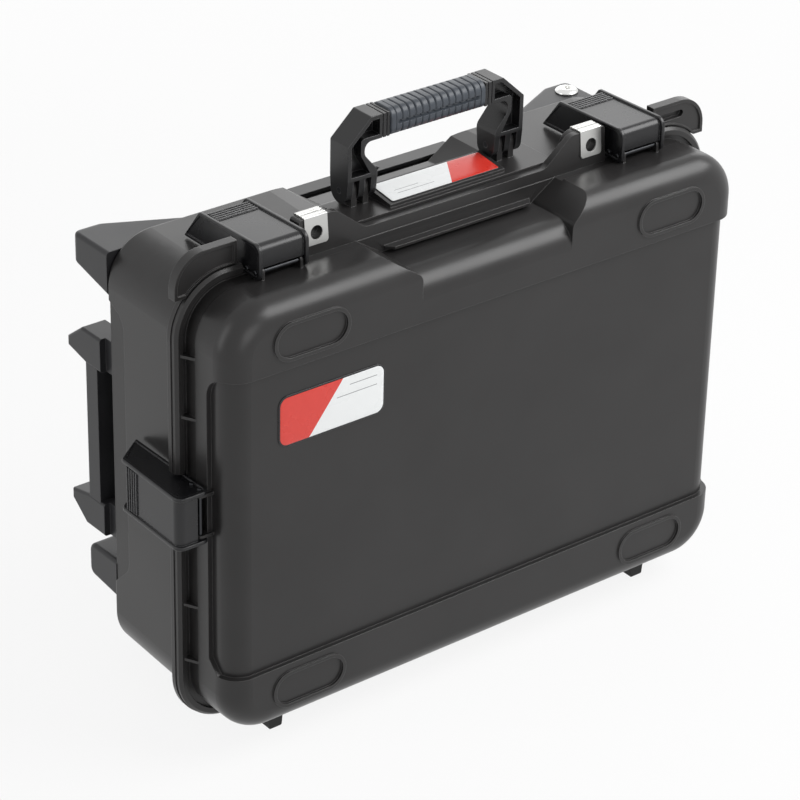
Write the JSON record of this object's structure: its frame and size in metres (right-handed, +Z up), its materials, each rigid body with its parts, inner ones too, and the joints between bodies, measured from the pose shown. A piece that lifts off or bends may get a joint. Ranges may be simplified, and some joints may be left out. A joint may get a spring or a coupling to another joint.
{
  "type": "wheeled hard tool case",
  "caption": "Upright wheeled hard case with a bottom-hinged lid, lever latches, folding carry handle and telescopic pull handle.",
  "frame": {"origin": "on the floor under the middle of the standing case's overall box", "axes": "+X along the long side to the right as seen from the lid, -Y towards the lid, +Z up"},
  "size_m": [0.5826, 0.2376, 0.5085],
  "materials": {
    "case_plastic": "moulded polypropylene, fine texture, satin",
    "latch_plastic": "moulded, smoother than the case, satin",
    "pin_steel": "plain bright steel",
    "seal_rubber": "soft foamed rubber, matt",
    "plate_steel": "bent stainless sheet, brushed",
    "handle_plastic": "moulded, satin",
    "grip_rubber": "soft moulded rubber, satin",
    "label_print": "printed film under a clear domed face",
    "foot_rubber": "moulded rubber, matt",
    "tube_aluminium": "anodised, satin",
    "bush_plastic": "moulded, satin",
    "pull_plastic": "moulded, satin",
    "spring_steel": "plain drawn wire and rod",
    "frame_plastic": "moulded, satin",
    "wheel_plastic": "moulded, satin",
    "tyre_rubber": "rolled rubber, matt",
    "axle_steel": "turned steel",
    "screw_steel": "zinc-plated steel",
    "cap_steel": "turned and polished"
  },
  "bodies": {
    "base": {"body_shell": "case_plastic", "hinge_pins": "pin_steel", "padlock_plate_body_right": "plate_steel", "padlock_plate_body_left": "plate_steel", "top_label": "label_print", "rear_feet": "foot_rubber", "outer_tubes": "tube_aluminium", "outer_tube_bushes": "bush_plastic", "upper_bracket": "frame_plastic", "lower_bracket": "frame_plastic", "bracket_screws": "screw_steel", "corner_block_right": "frame_plastic", "corner_block_left": "frame_plastic", "skid_right": "frame_plastic", "skid_left": "frame_plastic", "wheel_carrier_right": "frame_plastic", "wheel_carrier_left": "frame_plastic", "axle_right": "axle_steel", "axle_left": "axle_steel", "block_screws": "screw_steel", "skid_screws": "screw_steel", "block_cap": "cap_steel", "handle_pins": "pin_steel"},
    "lid": {"lid_shell": "case_plastic", "lid_seal": "seal_rubber", "front_label": "label_print", "padlock_plate_lid_right": "plate_steel", "padlock_plate_lid_left": "plate_steel", "front_feet": "foot_rubber", "latch_pivot_pins": "pin_steel"},
    "lever_top_left": {"latch_lever_top_left": "latch_plastic", "latch_link_pin_top_left": "pin_steel"},
    "link_top_left": {"latch_link_top_left": "latch_plastic"},
    "lever_top_right": {"latch_lever_top_right": "latch_plastic", "latch_link_pin_top_right": "pin_steel"},
    "link_top_right": {"latch_link_top_right": "latch_plastic"},
    "lever_side_left": {"latch_lever_side_left": "latch_plastic", "latch_link_pin_side_left": "pin_steel"},
    "link_side_left": {"latch_link_side_left": "latch_plastic"},
    "handle": {"carry_handle": "handle_plastic", "handle_grip": "grip_rubber"},
    "pull_middle": {"middle_tubes": "tube_aluminium", "middle_tube_bushes": "bush_plastic"},
    "pull_top": {"inner_tubes": "tube_aluminium", "pull_grip": "pull_plastic", "button_springs": "spring_steel"},
    "button": {"pull_button": "pull_plastic", "push_rods": "spring_steel"},
    "wheel_right": {"wheel_tyre_right": "tyre_rubber", "wheel_hub_right": "wheel_plastic"},
    "wheel_left": {"wheel_tyre_left": "tyre_rubber", "wheel_hub_left": "wheel_plastic"}
  },
  "joints": [
    {"name": "lid_hinge", "type": "hinge", "parent": "base", "child": "lid", "pos_m": [0.01005, -0.054, 0.0085], "axis": [1, 0, 0], "range_deg": [0, 105]},
    {"name": "latch_top_left", "type": "hinge", "parent": "lid", "child": "lever_top_left", "pos_m": [-0.17895, -0.0732, 0.4254], "axis": [1, 0, 0], "range_deg": [0, 90]},
    {"name": "link_top_left", "type": "hinge", "parent": "lever_top_left", "child": "link_top_left", "pos_m": [-0.17895, -0.0622, 0.4254], "axis": [1, 0, 0], "range_deg": [-45, 0]},
    {"name": "latch_top_right", "type": "hinge", "parent": "lid", "child": "lever_top_right", "pos_m": [0.19905, -0.0732, 0.4254], "axis": [1, 0, 0], "range_deg": [0, 90]},
    {"name": "link_top_right", "type": "hinge", "parent": "lever_top_right", "child": "link_top_right", "pos_m": [0.19905, -0.0622, 0.4254], "axis": [1, 0, 0], "range_deg": [-45, 0]},
    {"name": "latch_side_left", "type": "hinge", "parent": "lid", "child": "lever_side_left", "pos_m": [-0.26635, -0.0852, 0.233], "axis": [0, 0, 1], "range_deg": [0, 90]},
    {"name": "link_side_left", "type": "hinge", "parent": "lever_side_left", "child": "link_side_left", "pos_m": [-0.26635, -0.0742, 0.233], "axis": [0, 0, 1], "range_deg": [-45, 0]},
    {"name": "handle_fold", "type": "hinge", "parent": "base", "child": "handle", "pos_m": [0.01005, -0.0213, 0.444], "axis": [1, 0, 0], "range_deg": [-90, 0]},
    {"name": "pull_lower", "type": "slide", "parent": "base", "child": "pull_middle", "axis": [0, 0, 1], "range_m": [0, 0.26]},
    {"name": "pull_upper", "type": "slide", "parent": "pull_middle", "child": "pull_top", "axis": [0, 0, 1], "range_m": [0, 0.26]},
    {"name": "button_press", "type": "slide", "parent": "pull_top", "child": "button", "axis": [0, 0, -1], "range_m": [0, 0.0035], "stiffness_N_per_m": 700, "springref_m": -0.003, "deforming": ["button_springs"]},
    {"name": "wheel_turn_right", "type": "hinge", "parent": "base", "child": "wheel_right", "pos_m": [0.20505, 0.0768, 0.0435], "axis": [1, 0, 0], "continuous": true},
    {"name": "wheel_turn_left", "type": "hinge", "parent": "base", "child": "wheel_left", "pos_m": [-0.18495, 0.0768, 0.0435], "axis": [1, 0, 0], "continuous": true}
  ],
  "couplings": [
    {"joint": "link_top_left", "follows": "latch_top_left", "ratio": -0.5},
    {"joint": "link_top_right", "follows": "latch_top_right", "ratio": -0.5},
    {"joint": "link_side_left", "follows": "latch_side_left", "ratio": -0.5},
    {"joint": "pull_upper", "follows": "pull_lower", "ratio": 1}
  ]
}
